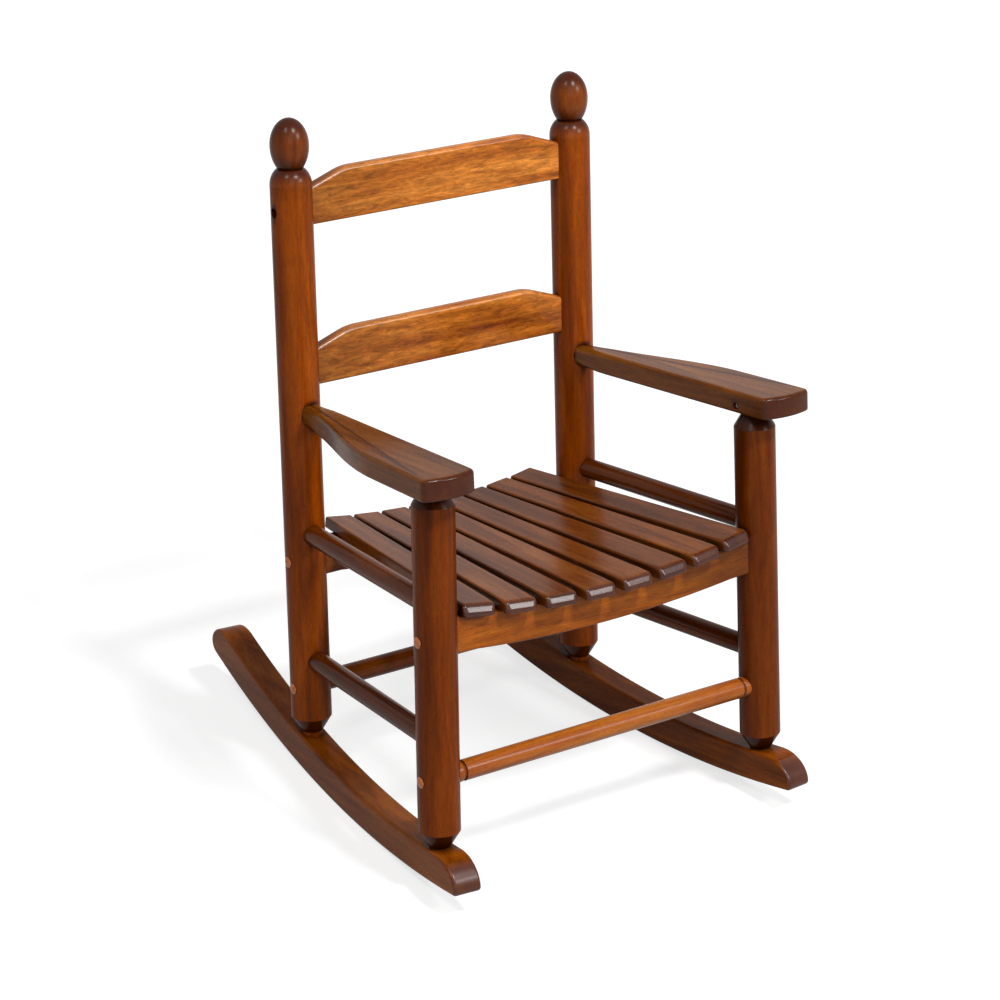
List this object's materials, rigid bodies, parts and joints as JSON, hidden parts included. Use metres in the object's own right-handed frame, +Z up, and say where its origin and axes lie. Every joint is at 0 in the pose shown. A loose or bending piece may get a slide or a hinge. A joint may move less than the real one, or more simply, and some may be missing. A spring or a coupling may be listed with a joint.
{
  "type": "kids rocking chair",
  "caption": "Child's rocking chair with turned posts, flat arms, shaped back slats and a fanned, dished slat seat on curved rockers that converge to the rear.",
  "frame": {"origin": "on the floor, at the middle of the chair's bounding box in plan, as it stands still", "axes": "+Z up, the chair faces -Y, +X to the viewer's right of a viewer who faces the chair's front"},
  "size_m": [0.385, 0.4628, 0.5687],
  "materials": {
    "frame_wood": "stained warm brown, gloss lacquer",
    "seat_wood": "stained warm brown, gloss lacquer",
    "plug_wood": "lighter reddish brown, gloss lacquer",
    "screw_steel": "zinc plated"
  },
  "bodies": {
    "root": {"rear_post_left": "frame_wood", "rear_post_right": "frame_wood", "front_post_left": "frame_wood", "front_post_right": "frame_wood", "rocker_left": "frame_wood", "rocker_right": "frame_wood", "arm_left": "frame_wood", "arm_right": "frame_wood", "back_slat_upper": "frame_wood", "back_slat_lower": "frame_wood", "seat_rail_front": "frame_wood", "seat_rail_rear": "frame_wood", "seat_slat_1": "seat_wood", "seat_slat_2": "seat_wood", "seat_slat_3": "seat_wood", "seat_slat_4": "seat_wood", "seat_slat_5": "seat_wood", "seat_slat_6": "seat_wood", "seat_slat_7": "seat_wood", "seat_slat_8": "seat_wood", "stretcher_upper_left": "frame_wood", "stretcher_upper_right": "frame_wood", "stretcher_lower_left": "frame_wood", "stretcher_lower_right": "frame_wood", "stretcher_front": "frame_wood", "stretcher_rear": "frame_wood", "button_plugs_front": "plug_wood", "button_plugs_rear": "plug_wood", "post_screws_front": "screw_steel", "post_screws_rear": "screw_steel", "back_slat_screws": "screw_steel", "arm_lock_screws": "screw_steel", "rocker_screws": "screw_steel", "seat_screws_front": "screw_steel", "seat_screws_rear": "screw_steel"}
  },
  "joints": []
}
